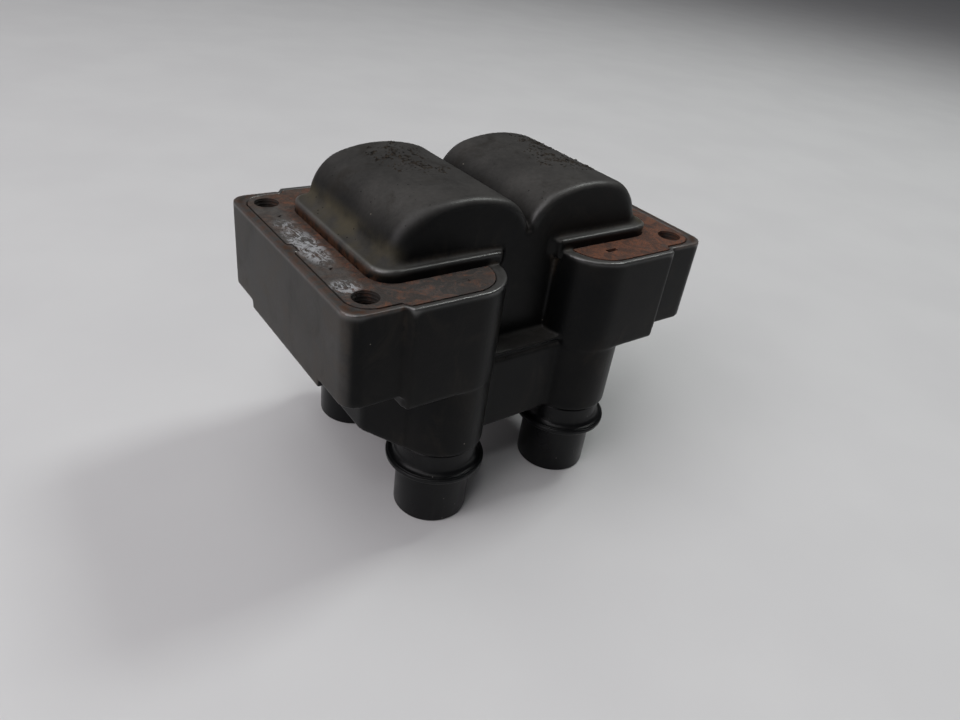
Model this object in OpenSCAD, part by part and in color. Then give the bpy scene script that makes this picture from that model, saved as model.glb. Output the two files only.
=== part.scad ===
// Ignition coil pack, four high-tension towers, two transformers side by side.
// Millimetres. Origin on the floor under the middle of the coil, +Z up, tower
// mouths on z = 0, +X along the length, -Y the long face without the connector.

/* [Overall] */

// Length of the moulded case along X
body_len = 108.6; // [103:5.6:108.6]
// Width of the case over the four bulges, along Y
body_w = 71; // [66:0.1:86]
// Height of the steel mounting face above the tower mouths
rim_z = 70.2; // [69:0.1:86]
// Height of the dome crests above the mounting face
dome_rise = 16.1; // [14:0.1:20]

/* [Towers] */

// Outside diameter of the tube a spark lead boot grips
tower_d = 20; // [17:0.1:22]
// Inside diameter of the tube
tower_bore_d = 13.4; // [11:0.1:15]
// Length of the tube below its flange
tube_len = 16.2; // [13:0.1:20]
// Diameter of the thin flange
flange_d = 26.3; // [25:0.1:29]
// Thickness of the flange
flange_t = 1.4; // [1:0.1:3]
// Height of the underside of the case above the tower mouths
ped_z = 24; // [21.5:0.1:26]
// Depth the tower neck goes into its seat
neck_depth = 7; // [5:0.1:8]

/* [Case] */

// Thickness of the moulded walls
wall = 2.2; // [1.8:0.1:2.7]
// Plastic left outside the steel on the long sides
rim_t = 1.85; // [1.4:0.05:2.4]
// Plastic left outside the steel on the short ends
end_rim_t = 2.6; // [2:0.1:3.2]
// Half width of the recess in the middle of each long side
recess_hw = 10; // [9.5:0.1:12]
// How far the bulges stand out from the end blocks
bulge_step = 1.82; // [1:0.01:2.5]
// Depth of the plastic floor under the steel
floor_t = 2; // [1.5:0.1:3]
// Radius of the rounded front edges of the domes
dome_front_r = 4.3; // [3:0.1:5.2]
// Radius of the rounded edges of the domes on the connector side
dome_back_r = 2.5; // [2:0.1:5.2]

/* [Magnetic core] */

// Height of the lamination stacks
stack_h = 21.2; // [17.7:0.1:22]
// Width of the outer yoke of a C core
yoke_w = 9.15; // [7.6:0.05:11]
// Width of the two legs of a C core
leg_w = 9.5; // [7.9:0.05:11]
// Width of the straight bar inside a winding
bar_w = 11; // [9.2:0.1:12.5]
// Gap all round a C core in its pocket
core_fit = 0.15; // [0.1:0.01:0.3]
// Gap all round a bar in its bobbin and wall slot
bar_fit = 0.2; // [0.1:0.01:0.3]

/* [Mounting holes] */

// Hole diameter, clearance for an M6 screw
hole_d = 6.2; // [5.2:0.1:7.4]
// Distance of the hole axes from the short ends
hole_in_x = 7.4; // [6.5:0.1:8]
// Distance of the hole axes from the end block sides
hole_in_y = 6.78; // [6.5:0.01:8]

/* [Windings] */

// Wall thickness of the bobbins
bobbin_t = 1.2; // [1:0.1:1.5]
// Radial build of the primary winding
primary_t = 2.4; // [2:0.1:2.9]
// Gap between a winding and the case for the resin
coil_gap = 1.2; // [0.9:0.1:1.5]
// Room at each winding end for the lead strips
lead_room = 1.7; // [1.5:0.1:2.2]
// Width of the flat high-tension leads
lead_w = 2.4; // [2:0.1:3]

/* [Connector] */

// Outside width of the connector shroud along X
conn_w = 18.4; // [17:0.1:18.6]
// Outside height of the connector shroud along Z
conn_h = 13; // [11:0.1:13.4]
// Wall of the shroud
conn_wall = 1.3; // [1:0.1:1.6]
// Spacing of the three pins
pin_pitch = 4.6; // [4.2:0.1:4.9]
// Pin blade width
pin_w = 1.5; // [1.2:0.1:1.8]
// Pin blade thickness
pin_t = 0.8; // [0.6:0.1:1]

/* [Show] */

// Sub-part drawn, or all

/* [Hidden] */

$fn = 64;
// small overlap that fuses two shapes, and spare length of a cutting tool
e = 0.01;
over = 4;

half_l = body_len / 2;
half_w = body_w / 2;
block_hw = half_w - bulge_step;
block_r = 4;

// towers and the pedestals they are pressed into
ped_wall = 2.1;
neck_step = 0.9;
seat_roof = 3;
web_t = 3;
ped_r = tower_d / 2 + ped_wall;
tower_x = recess_hw + ped_r;
tower_y = half_w - ped_r;
bore_r = tower_bore_d / 2;
neck_r = tower_d / 2 + neck_step;
neck_top = ped_z + neck_depth;
ped_top = neck_top + seat_roof;
web_z = ped_z - web_t;

// undersides of the end blocks, of their middle band and of the bulges
band_drop = 2.2;
bulge_drop = 2.9;
shelf_rise = 0.2;
core_bot = rim_z - stack_h;
block_bot = core_bot - floor_t;
band_bot = block_bot - band_drop;
band_hy = 20;
bulge_bot = block_bot - bulge_drop;
shelf_z = block_bot + shelf_rise;
groove_w = 1.6;
groove_z = bulge_bot + 1.3;
groove_run = 1.5;

core_x = half_l - end_rim_t;
core_hy = block_hw - rim_t;
leg_hy = half_w - rim_t;
core_r = 5.5;

// raised plinth round the domes, its ledge and the domes themselves
ledge_h = 2.8;
ledge_x = 4.1;
ledge_y = 2;
ledge_in = 1.1;
dome_lap = 0.5;
plinth_x = core_x - yoke_w - core_fit;
plinth_y = leg_hy - leg_w - core_fit;
plinth_r = 6;
ledge_z = rim_z + ledge_h;
dome_a = (plinth_x - ledge_x + dome_lap) / 2;
dome_x = dome_a - dome_lap;
dome_y = plinth_y - ledge_y;

// lower body
low_in = 2;
low_step = 7.2;
low_x = plinth_x - low_in;
low_y = half_w - low_step;
low_r = 5;
low_corner_y = 14;
// keeps the sloping side just inside the two rounds it joins
blend = 0.05;
step_run = 1.2;
nose_x = dome_x - bar_w / 2 + leg_w;

// dome section: two side arcs and one flat top arc that meets them smoothly
flank_h = 0.2;
arch_flat = 1;
spring_z = ledge_z + flank_h;
arch_b = rim_z + dome_rise - spring_z;
arch_r = arch_b - arch_flat;
arch_c = dome_a - arch_r;
arch_d = (arch_c * arch_c - arch_flat * arch_flat) / (2 * arch_flat);
arch_top_r = arch_b + arch_d;
arch_ang = atan2(arch_d, arch_c);

// rooms inside the case
pot_in = 2;
basin_roof = 2;
cav_hx = dome_a - wall;
cav_hy = dome_y - wall;
pot_z = ped_z + pot_in;
basin_top = bulge_bot - basin_roof;

// windings, their sizes measured outwards from the bar
core_zc = rim_z - stack_h / 2;
bar_hy = leg_hy - leg_w;
lead_z = neck_top + 5;
lead_over = 0.3;
coil_build = min(cav_hx - coil_gap - bar_w / 2, core_zc - stack_h / 2 - lead_z - lead_over);
base_r = 0.6;
pb_in = bar_fit;
pb_out = pb_in + bobbin_t;
pw_out = pb_out + primary_t;
sb_out = pw_out + bobbin_t;
sec_n = 6;
fin_t = 1.1;
sec_step = 0.05;
sec_pitch = sec_step * floor((2 * (cav_hy - lead_room) - fin_t) / sec_n / sec_step + 0.01);
coil_hy = (sec_n * sec_pitch + fin_t) / 2;
cross_w = 2;
cross_in = 1;
coil_bot = core_zc - stack_h / 2 - coil_build;

hole_x = half_l - hole_in_x;
hole_y = block_hw - hole_in_y;

// key of plastic that stands in the notch of each C core
key_hy = 2.2;
key_d = 1.2;
key_gap = 0.15;

// high-tension terminals and their flat leads
term_r = 2.4;
term_head_r = 4;
term_head_t = 1.6;
term_stem_r = 1.6;
term_wall = 0.7;
term_cup = 6;
term_bot = 8;
term_top = neck_top + 2;
lead_t = 0.8;
lead_end_gap = 0.3;
lead_end_y = coil_hy - fin_t / 2 - lead_end_gap;
chan_hw = 3.2;
chan_top = lead_z + 2.4;

// connector and its three pins
conn_lift = 3.4;
conn_floor_t = 3;
conn_z = ped_z + conn_lift + conn_h / 2;
conn_r = 1.5;
conn_front = half_w - 0.3;
conn_back = cav_hy + 0.8;
conn_floor = conn_back + conn_floor_t;
conn_seal = 0.1;
pin_front = conn_front - 3;
strip_y = coil_hy;
common_z = conn_z - 2.5;
arm_x = pin_pitch + 3.4;
arm_top = core_zc - stack_h / 2 - pb_in - bobbin_t;
arm_in = dome_x - bar_w / 2 + 1;
side_top = core_zc - 6;
side_in = dome_x - bar_w / 2 - pb_in - bobbin_t;

// ---------- outlines ----------

// Rounded rectangle centred on the origin, given by its half sizes.
module rrect(hx, hy, r) {
    square([2 * hx, 2 * (hy - r)], center = true);
    square([2 * (hx - r), 2 * hy], center = true);
    for (sx = [-1, 1])
        for (sy = [-1, 1])
            translate([sx * (hx - r), sy * (hy - r)])
                circle(r);
}

// Both halves in X and Y of whatever is drawn in the first quadrant.
module four() {
    for (sx = [0, 1])
        for (sy = [0, 1])
            mirror([sx, 0, 0])
                mirror([0, sy, 0])
                    children();
}

// Case outline at the height of the steel: end blocks, bulges, middle recess.
module upper_outline() {
    difference() {
        rrect(half_l, block_hw, block_r);
        for (s = [-1, 1])
            translate([0, s * (dome_y + half_w / 2)])
                square([2 * tower_x, half_w], center = true);
    }
    four() {
        polygon([
            [tower_x, 0],
            [tower_x, half_w],
            [low_x - step_run / 2, half_w],
            [low_x + step_run / 2, block_hw],
            [low_x + step_run / 2, 0]
        ]);
        translate([tower_x, tower_y])
            circle(ped_r);
    }
}

// Outline of the lower body and its four pedestals, moved inwards by t.
module lower_outline(t) {
    ra = low_r - t;
    rb = ped_r - t;
    ax = low_x - low_r;
    ay = low_corner_y;
    dx = tower_x - ax;
    dy = tower_y - ay;
    n = atan2(dy, dx) - acos((ra - rb) / sqrt(dx * dx + dy * dy));
    four() {
        polygon([
            [0, 0],
            [low_x - t, 0],
            [low_x - t, ay],
            [ax + (ra - blend) * cos(n), ay + (ra - blend) * sin(n)],
            [tower_x + (rb - blend) * cos(n), tower_y + (rb - blend) * sin(n)],
            [tower_x, tower_y],
            [tower_x, low_y - t],
            [0, low_y - t]
        ]);
        translate([ax, ay])
            circle(ra);
        translate([tower_x, tower_y])
            circle(rb);
    }
}

// C core of the right-hand side, grown outwards by g, h high from z = 0.
module core_prism(g, h) {
    difference() {
        union() {
            intersection() {
                linear_extrude(height = h)
                    rrect(core_x + g, core_hy + g, core_r + g);
                translate([low_x, -half_w, -1])
                    cube([half_l, body_w, h + 2]);
            }
            for (s = [0, 1])
                mirror([0, s, 0]) {
                    linear_extrude(height = h)
                        polygon([
                            [nose_x, 0],
                            [nose_x, leg_hy + g],
                            [low_x - step_run / 2, leg_hy + g],
                            [low_x + step_run / 2, core_hy + g],
                            [low_x + step_run / 2, 0]
                        ]);
                    translate([nose_x, bar_hy, 0])
                        cylinder(r = leg_w + g, h = h);
                }
        }
        translate([0, 0, -1])
            linear_extrude(height = h + 2)
                rrect(plinth_x + core_fit - g, plinth_y + core_fit - g, plinth_r + core_fit - g);
    }
}

// Dome cross-section in X and Z, moved inwards by t, from the spring line up.
module arch_outline(t) {
    far = 2 * arch_top_r;
    ux = cos(arch_ang) * far;
    uz = sin(arch_ang) * far;
    intersection() {
        translate([0, -arch_d])
            circle(arch_top_r - t);
        polygon([[-arch_c, 0], [arch_c, 0], [ux, uz - arch_d], [-ux, uz - arch_d]]);
    }
    for (s = [0, 1])
        mirror([s, 0])
            intersection() {
                translate([arch_c, 0])
                    circle(arch_r - t);
                polygon([[arch_c, 0], [far, 0], [far, far], [ux, uz - arch_d]]);
            }
}

// Turns an outline drawn in X and Z into a prism along Y, centred on y = 0.
module along_y(len) {
    rotate([90, 0, 0])
        translate([0, 0, -len / 2])
            linear_extrude(height = len)
                children();
}

// ---------- case ----------

// Disc lying in the XZ plane, its rims rounded as the domes' front and back are.
module rounded_disc(r) {
    rotate([90, 0, 0])
        rotate_extrude() {
            translate([0, -dome_y])
                square([r - dome_back_r, dome_y + e]);
            translate([0, -e])
                square([r - dome_front_r, dome_y + e]);
            translate([0, dome_back_r - dome_y])
                square([r, 2 * dome_y - dome_front_r - dome_back_r]);
            translate([r - dome_back_r, dome_back_r - dome_y])
                circle(dome_back_r);
            translate([r - dome_front_r, dome_y - dome_front_r])
                circle(dome_front_r);
        }
}

// Plan of one dome, with the front corners rounder than the back ones.
module dome_plan() {
    for (end = [[-1, dome_front_r], [1, dome_back_r]]) {
        r = end[1];
        translate([r - dome_a, end[0] < 0 ? -dome_y : -e])
            square([2 * (dome_a - r), dome_y + e]);
        translate([-dome_a, end[0] < 0 ? r - dome_y : -e])
            square([2 * dome_a, dome_y - r + e]);
        for (sx = [-1, 1])
            translate([sx * (dome_a - r), end[0] * (dome_y - r)])
                circle(r);
    }
}

// One dome, its middle plane on x = 0.
module dome() {
    far = 2 * arch_top_r;
    ux = cos(arch_ang) * far;
    uz = sin(arch_ang) * far;
    translate([0, 0, rim_z])
        linear_extrude(height = spring_z - rim_z)
            dome_plan();
    translate([0, 0, spring_z]) {
        intersection() {
            translate([0, 0, -arch_d])
                rounded_disc(arch_top_r);
            along_y(3 * dome_y)
                polygon([[-arch_c, 0], [arch_c, 0], [ux, uz - arch_d], [-ux, uz - arch_d]]);
        }
        for (s = [0, 1])
            mirror([s, 0, 0])
                intersection() {
                    translate([arch_c, 0, 0])
                        rounded_disc(arch_r);
                    along_y(3 * dome_y)
                        polygon([[arch_c, 0], [far, 0], [far, far], [ux, uz - arch_d]]);
                }
    }
}

// Everything the case fills before it is hollowed out.
module case_mass() {
    translate([0, 0, ped_z])
        linear_extrude(height = shelf_z - ped_z)
            lower_outline(0);
    translate([0, 0, block_bot])
        linear_extrude(height = rim_z - block_bot)
            upper_outline();
    // bulges reach a little lower than the end blocks
    translate([0, 0, bulge_bot])
        linear_extrude(height = shelf_z - bulge_bot)
            four() {
                polygon([
                    [tower_x, 0],
                    [tower_x, half_w],
                    [low_x - step_run / 2, half_w],
                    [low_x, block_hw],
                    [low_x, 0]
                ]);
            }
    for (s = [-1, 1])
        translate([s * (half_l + low_x) / 2, 0, (band_bot + core_bot) / 2])
            cube([half_l - low_x, 2 * band_hy, core_bot - band_bot], center = true);
    difference() {
        translate([0, 0, rim_z - wall])
            linear_extrude(height = ledge_z - rim_z + wall)
                rrect(plinth_x, plinth_y, plinth_r);
        // the ledge stops at the middle recess
        for (s = [-1, 1])
            translate([0, s * (dome_y + half_w / 2), rim_z])
                cube([2 * (recess_hw - ledge_in), half_w, 4 * wall], center = true);
    }
    for (s = [-1, 1])
        translate([s * dome_x, 0, 0])
            dome();
}

// Room inside the case that the windings and the resin take up.
module inner_room() {
    for (s = [-1, 1]) {
        translate([s * dome_x, 0, (ped_z - over + spring_z) / 2])
            cube([2 * cav_hx, 2 * cav_hy, spring_z - ped_z + over], center = true);
        translate([s * dome_x, 0, spring_z])
            along_y(2 * cav_hy)
                arch_outline(wall);
    }
    translate([0, 0, ped_z - over])
        linear_extrude(height = basin_top - ped_z + over)
            difference() {
                lower_outline(wall);
                four()
                    translate([tower_x, tower_y])
                        circle(ped_r);
            }
    // passages from the tower seats to the windings
    four() {
        translate([tower_x - chan_hw, cav_hy - 1, neck_top])
            cube([2 * chan_hw, tower_y - cav_hy + 1, chan_top - neck_top]);
        translate([tower_x, tower_y, neck_top])
            cylinder(r = chan_hw, h = chan_top - neck_top);
    }
}

// Pedestals seen as plain posts, kept solid when the basin is cut.
module pedestals() {
    four()
        translate([tower_x, tower_y, ped_z])
            difference() {
                cylinder(r = ped_r, h = ped_top - ped_z);
                translate([0, 0, neck_depth])
                    cylinder(r = chan_hw, h = chan_top - neck_top);
                translate([-chan_hw, -ped_r, neck_depth])
                    cube([2 * chan_hw, ped_r, chan_top - neck_top]);
            }
}

// Outline of the connector in X and Z, moved inwards by t.
module conn_outline(t) {
    translate([0, conn_z])
        rrect(conn_w / 2 - t, conn_h / 2 - t, conn_r - t / 2);
}

module case() {
    color([0.10, 0.10, 0.10])
        difference() {
            case_mass();
            difference() {
                inner_room();
                pedestals();
            }
            // pockets for the two C cores
            for (s = [0, 1])
                mirror([s, 0, 0])
                    difference() {
                        translate([0, 0, core_bot])
                            core_prism(core_fit, stack_h + over);
                        translate([core_x + core_fit - key_d, -key_hy + key_gap, block_bot])
                            cube([2 * key_d, 2 * (key_hy - key_gap), rim_z]);
                    }
            // slots the straight bars pass through
            for (s = [-1, 1])
                translate([s * dome_x, 0, core_zc])
                    cube([bar_w + 2 * bar_fit, 2 * plinth_y + 1, stack_h], center = true);
            // mounting holes
            four()
                translate([hole_x, hole_y, block_bot - 1])
                    cylinder(d = hole_d, h = floor_t + 2);
            // seats for the tower necks
            four()
                translate([tower_x, tower_y, ped_z - 1])
                    cylinder(r = neck_r, h = neck_depth + 1);
            // groove under the shelf in the middle of the long sides
            for (s = [-1, 1])
                translate([0, s * low_y, groove_z])
                    cube([2 * (recess_hw + groove_run), groove_w, groove_w], center = true);
            // window for the connector
            translate([0, (cav_hy + half_w) / 2, 0])
                along_y(half_w - cav_hy)
                    conn_outline(-conn_seal);
        }
}

// ---------- core ----------

module core_c() {
    color([0.36, 0.20, 0.14])
        translate([0, 0, core_bot])
            difference() {
                core_prism(0, stack_h);
                translate([core_x - key_d, -key_hy, -1])
                    cube([2 * key_d, 2 * key_hy, stack_h + 2]);
                for (s = [-1, 1])
                    translate([hole_x, s * hole_y, -1])
                        cylinder(d = hole_d, h = stack_h + 2);
            }
}

module core_bar() {
    color([0.42, 0.42, 0.44])
        translate([dome_x, 0, core_zc])
            cube([bar_w, 2 * bar_hy, stack_h], center = true);
}

module core_c_left() {
    mirror([1, 0, 0])
        core_c();
}

module core_c_right() {
    core_c();
}

module core_bar_left() {
    mirror([1, 0, 0])
        core_bar();
}

module core_bar_right() {
    core_bar();
}

// ---------- windings ----------

// Prism round the bar, its surface a distance t from the bar.
module layer(t, len) {
    translate([dome_x, 0, core_zc])
        along_y(len)
            rrect(bar_w / 2 + t, stack_h / 2 + t, base_r + t);
}

module primary_bobbin() {
    color([0.75, 0.72, 0.62])
        difference() {
            union() {
                layer(pb_out, 2 * coil_hy);
                for (s = [-1, 1])
                    translate([0, s * (coil_hy - bobbin_t / 2), 0])
                        layer(pw_out, bobbin_t);
            }
            translate([dome_x, 0, core_zc])
                cube([bar_w + 2 * pb_in, 3 * coil_hy, stack_h + 2 * pb_in], center = true);
        }
}

module primary_winding() {
    color([0.72, 0.38, 0.18])
        difference() {
            layer(pw_out, 2 * (coil_hy - bobbin_t));
            layer(pb_out, 3 * coil_hy);
        }
}

// Slots in the bobbin fins that let the wire cross to the next chamber.
module crossover(hy) {
    translate([dome_x - cross_w / 2, -hy, coil_bot + cross_in])
        cube([cross_w, 2 * hy, coil_build - sb_out - cross_in]);
}

module secondary_bobbin() {
    color([0.80, 0.78, 0.70])
        difference() {
            union() {
                layer(sb_out, 2 * coil_hy);
                for (i = [0 : sec_n])
                    translate([0, -coil_hy + fin_t / 2 + i * sec_pitch, 0])
                        layer(coil_build, fin_t);
            }
            layer(pw_out, 3 * coil_hy);
            crossover(coil_hy - fin_t);
        }
}

module secondary_winding() {
    color([0.62, 0.30, 0.14])
        difference() {
            union() {
                for (i = [0 : sec_n - 1])
                    translate([0, -coil_hy + fin_t / 2 + (i + 0.5) * sec_pitch, 0])
                        layer(coil_build, sec_pitch - fin_t);
                crossover(coil_hy - fin_t);
            }
            layer(sb_out, 3 * coil_hy);
        }
}

module primary_bobbin_left() {
    mirror([1, 0, 0])
        primary_bobbin();
}

module primary_bobbin_right() {
    primary_bobbin();
}

module primary_winding_left() {
    mirror([1, 0, 0])
        primary_winding();
}

module primary_winding_right() {
    primary_winding();
}

module secondary_bobbin_left() {
    mirror([1, 0, 0])
        secondary_bobbin();
}

module secondary_bobbin_right() {
    secondary_bobbin();
}

module secondary_winding_left() {
    mirror([1, 0, 0])
        secondary_winding();
}

module secondary_winding_right() {
    secondary_winding();
}

// ---------- towers ----------

// Puts its child on one tower axis; sx and sy pick the corner.
module at_tower(sx, sy) {
    translate([sx * tower_x, sy * tower_y, 0])
        children();
}

module ht_tower() {
    color([0.05, 0.05, 0.05])
        difference() {
            union() {
                cylinder(d = tower_d, h = tube_len + e);
                translate([0, 0, tube_len])
                    cylinder(d = flange_d, h = flange_t);
                translate([0, 0, tube_len + flange_t - e])
                    cylinder(r = neck_r, h = neck_top - tube_len - flange_t + e);
            }
            translate([0, 0, -1])
                cylinder(r = bore_r, h = web_z + 1);
            translate([0, 0, web_z - 1])
                cylinder(r = term_stem_r, h = neck_top);
        }
}

module ht_terminal() {
    color([0.78, 0.62, 0.30])
        difference() {
            union() {
                translate([0, 0, term_bot])
                    cylinder(r = term_r, h = web_z - term_bot);
                translate([0, 0, web_z - term_head_t])
                    cylinder(r = term_head_r, h = term_head_t);
                translate([0, 0, web_z - e])
                    cylinder(r = term_stem_r, h = term_top - web_z + e);
            }
            translate([0, 0, term_bot - 1])
                cylinder(r = term_r - term_wall, h = term_cup + 1);
        }
}

// Bent strip from the terminal to the end flange of the secondary bobbin.
module ht_lead(sx, sy) {
    run = tower_y - lead_end_y;
    color([0.70, 0.60, 0.45])
        translate([sx * tower_x, sy * tower_y, 0]) {
            translate([-lead_w / 2, -lead_t / 2, term_top])
                cube([lead_w, lead_t, lead_z - term_top]);
            translate([-lead_w / 2, -sy * run / 2 - (run + lead_t) / 2, lead_z - lead_t])
                cube([lead_w, run + lead_t, lead_t]);
            translate([-lead_w / 2, -sy * run - lead_t / 2, lead_z - lead_t])
                cube([lead_w, lead_t, coil_bot - lead_z + lead_t]);
        }
}

module ht_tower_front_left() {
    at_tower(-1, -1)
        ht_tower();
}

module ht_tower_front_right() {
    at_tower(1, -1)
        ht_tower();
}

module ht_tower_back_left() {
    at_tower(-1, 1)
        ht_tower();
}

module ht_tower_back_right() {
    at_tower(1, 1)
        ht_tower();
}

module ht_terminal_front_left() {
    at_tower(-1, -1)
        ht_terminal();
}

module ht_terminal_front_right() {
    at_tower(1, -1)
        ht_terminal();
}

module ht_terminal_back_left() {
    at_tower(-1, 1)
        ht_terminal();
}

module ht_terminal_back_right() {
    at_tower(1, 1)
        ht_terminal();
}

module ht_lead_front_left() {
    ht_lead(-1, -1);
}

module ht_lead_front_right() {
    ht_lead(1, -1);
}

module ht_lead_back_left() {
    ht_lead(-1, 1);
}

module ht_lead_back_right() {
    ht_lead(1, 1);
}

// ---------- connector ----------

module connector_shroud() {
    color([0.07, 0.07, 0.07])
        difference() {
            translate([0, (conn_front + conn_back) / 2, 0])
                along_y(conn_front - conn_back)
                    conn_outline(0);
            translate([0, (conn_front + conn_floor) / 2 + 1, 0])
                along_y(conn_front - conn_floor + 2)
                    conn_outline(conn_wall);
            for (i = [-1 : 1])
                translate([i * pin_pitch, (conn_back + conn_floor) / 2, conn_z])
                    cube([pin_w, 4 + conn_floor - conn_back, pin_t], center = true);
        }
}

// Straight blade of a pin, from the mating end back to the strip.
module blade(x) {
    translate([x - pin_w / 2, strip_y, conn_z - pin_t / 2])
        cube([pin_w, pin_front - strip_y, pin_t]);
}

// Flat strip lying against the winding ends, between two corners in X and Z.
module strip(x0, z0, x1, z1) {
    translate([x0, strip_y, z0])
        cube([x1 - x0, pin_t, z1 - z0]);
}

module lt_pin_common() {
    color([0.80, 0.66, 0.36]) {
        blade(0);
        strip(-pin_w / 2, common_z, pin_w / 2, conn_z + pin_t / 2);
        strip(-arm_x - pin_w, common_z, arm_x + pin_w, common_z + pin_w);
        for (s = [0, 1])
            mirror([s, 0, 0]) {
                strip(arm_x, common_z, arm_x + pin_w, arm_top);
                strip(arm_x, arm_top - pin_w, arm_in, arm_top);
            }
    }
}

module lt_pin_side() {
    color([0.80, 0.66, 0.36]) {
        blade(pin_pitch);
        strip(pin_pitch - pin_w / 2, conn_z - pin_t / 2, pin_pitch + pin_w / 2, side_top);
        strip(pin_pitch - pin_w / 2, side_top - pin_w, side_in + bobbin_t / 2, side_top);
    }
}

module lt_pin_left() {
    mirror([1, 0, 0])
        lt_pin_side();
}

module lt_pin_right() {
    lt_pin_side();
}

// ---------- resin ----------

module potting() {
    color([0.16, 0.13, 0.11])
        difference() {
            intersection() {
                difference() {
                    inner_room();
                    pedestals();
                }
                translate([-half_l, -half_w, pot_z])
                    cube([body_len, body_w, 2 * rim_z]);
            }
            for (s = [0, 1])
                mirror([s, 0, 0]) {
                    layer(coil_build, 2 * coil_hy);
                    translate([dome_x, 0, core_zc])
                        cube([bar_w + 2 * bar_fit, 2 * plinth_y, stack_h + 2 * bar_fit], center = true);
                    lt_pin_side();
                }
            four()
                translate([tower_x, tower_y, 0])
                    cylinder(r = neck_r, h = neck_top);
            four()
                translate([tower_x, tower_y, 0])
                    cylinder(r = term_stem_r, h = term_top);
            for (sx = [-1, 1])
                for (sy = [-1, 1])
                    ht_lead(sx, sy);
            lt_pin_common();
            translate([0, (cav_hy + half_w) / 2 + conn_back - cav_hy, 0])
                along_y(half_w - cav_hy)
                    conn_outline(-conn_seal);
        }
}

// ---------- what is drawn ----------

case();
potting();
core_c_left();
core_c_right();
core_bar_left();
core_bar_right();
primary_bobbin_left();
primary_bobbin_right();
primary_winding_left();
primary_winding_right();
secondary_bobbin_left();
secondary_bobbin_right();
secondary_winding_left();
secondary_winding_right();
ht_tower_front_left();
ht_tower_front_right();
ht_tower_back_left();
ht_tower_back_right();
ht_terminal_front_left();
ht_terminal_front_right();
ht_terminal_back_left();
ht_terminal_back_right();
ht_lead_front_left();
ht_lead_front_right();
ht_lead_back_left();
ht_lead_back_right();
connector_shroud();
lt_pin_common();
lt_pin_left();
lt_pin_right();
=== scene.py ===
import math

import bmesh
import bpy
import numpy as np
from mathutils import Matrix, Vector, noise


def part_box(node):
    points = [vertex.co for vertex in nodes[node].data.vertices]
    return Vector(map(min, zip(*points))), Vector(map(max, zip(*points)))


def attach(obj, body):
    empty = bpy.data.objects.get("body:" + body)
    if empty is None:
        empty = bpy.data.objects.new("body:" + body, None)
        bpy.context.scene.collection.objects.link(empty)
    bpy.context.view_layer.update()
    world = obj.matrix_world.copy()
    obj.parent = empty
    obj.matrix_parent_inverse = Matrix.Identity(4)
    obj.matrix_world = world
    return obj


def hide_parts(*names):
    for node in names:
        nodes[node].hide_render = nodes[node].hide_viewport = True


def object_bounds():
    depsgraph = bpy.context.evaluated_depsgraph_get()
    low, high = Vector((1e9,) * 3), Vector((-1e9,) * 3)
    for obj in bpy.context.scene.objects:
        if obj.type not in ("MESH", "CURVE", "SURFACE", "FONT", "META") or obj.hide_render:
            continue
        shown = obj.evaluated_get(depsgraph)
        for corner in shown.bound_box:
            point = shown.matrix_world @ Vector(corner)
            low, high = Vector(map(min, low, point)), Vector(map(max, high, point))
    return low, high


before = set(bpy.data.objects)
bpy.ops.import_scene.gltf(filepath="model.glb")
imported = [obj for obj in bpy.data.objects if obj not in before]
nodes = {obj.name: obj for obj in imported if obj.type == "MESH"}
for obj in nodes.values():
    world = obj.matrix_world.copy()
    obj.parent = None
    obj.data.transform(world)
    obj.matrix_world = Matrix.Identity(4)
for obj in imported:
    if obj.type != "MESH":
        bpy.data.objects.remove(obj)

# ---------- sizes, in metres, taken from the frame where it has them ----------

MM = 0.001
cad_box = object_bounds()
case_lo, case_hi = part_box("case")
steel_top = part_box("core_c_right")[1].z
bar_lo, bar_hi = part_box("core_bar_right")
tower_lo, tower_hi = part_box("ht_tower_front_right")

RIM_Z = steel_top
CREST_Z = case_hi.z
CASE_Z = case_lo.z
TOWER_X = (tower_lo.x + tower_hi.x) / 2
TOWER_Y = abs(tower_lo.y + tower_hi.y) / 2
DOME_X = (bar_lo.x + bar_hi.x) / 2
BAR_HALF_X = (bar_hi.x - bar_lo.x) / 2
BAR_HALF_Y = bar_hi.y
FLANGE_R = (tower_hi.x - tower_lo.x) / 2
CORNERS = {"front_left": (-1, -1), "front_right": (1, -1), "back_left": (-1, 1), "back_right": (1, 1)}

# sizes inside the case, which have no box of their own in the frame: the domes and their ledge,
# then the outline of the lower body round its four pedestals
DOME_HALF_X = 19.4 * MM
DOME_HALF_Y = 22.0 * MM
LEDGE_Z = RIM_Z + 2.8 * MM
SPRING_Z = LEDGE_Z + 0.2 * MM
ARCH_FLAT = 1.0 * MM
ARCH_R = CREST_Z - SPRING_Z - ARCH_FLAT
PEDESTAL_R = 12.1 * MM
LOWER_X = 40.4 * MM
LOWER_Y = 28.3 * MM
LOWER_R = 5.0 * MM
LOWER_CORNER_Y = 14.0 * MM
BULGE_BOTTOM = 44.1 * MM
HALF_WALL = 1.1 * MM

# rounding of the domes' edges and the sweep at their foot
FRONT_EDGE_R = 1.9 * MM
SHOULDER_EXTRA = 2.4 * MM
BACK_EDGE_R = 2.5 * MM
PLAN_R = 4.0 * MM
COVE_TIGHT = 1.5 * MM
COVE_EXTRA = 2.5 * MM
COVE_OVERLAP = 1.5 * MM


# ---------- mesh helpers ----------

def link(name, mesh):
    obj = bpy.data.objects.new(name, mesh)
    bpy.context.scene.collection.objects.link(obj)
    return obj


def finished(name, bm, smooth=True):
    mesh = bpy.data.meshes.new(name)
    bm.to_mesh(mesh)
    bm.free()
    for poly in mesh.polygons:
        poly.use_smooth = smooth
    return link(name, mesh)


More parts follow.
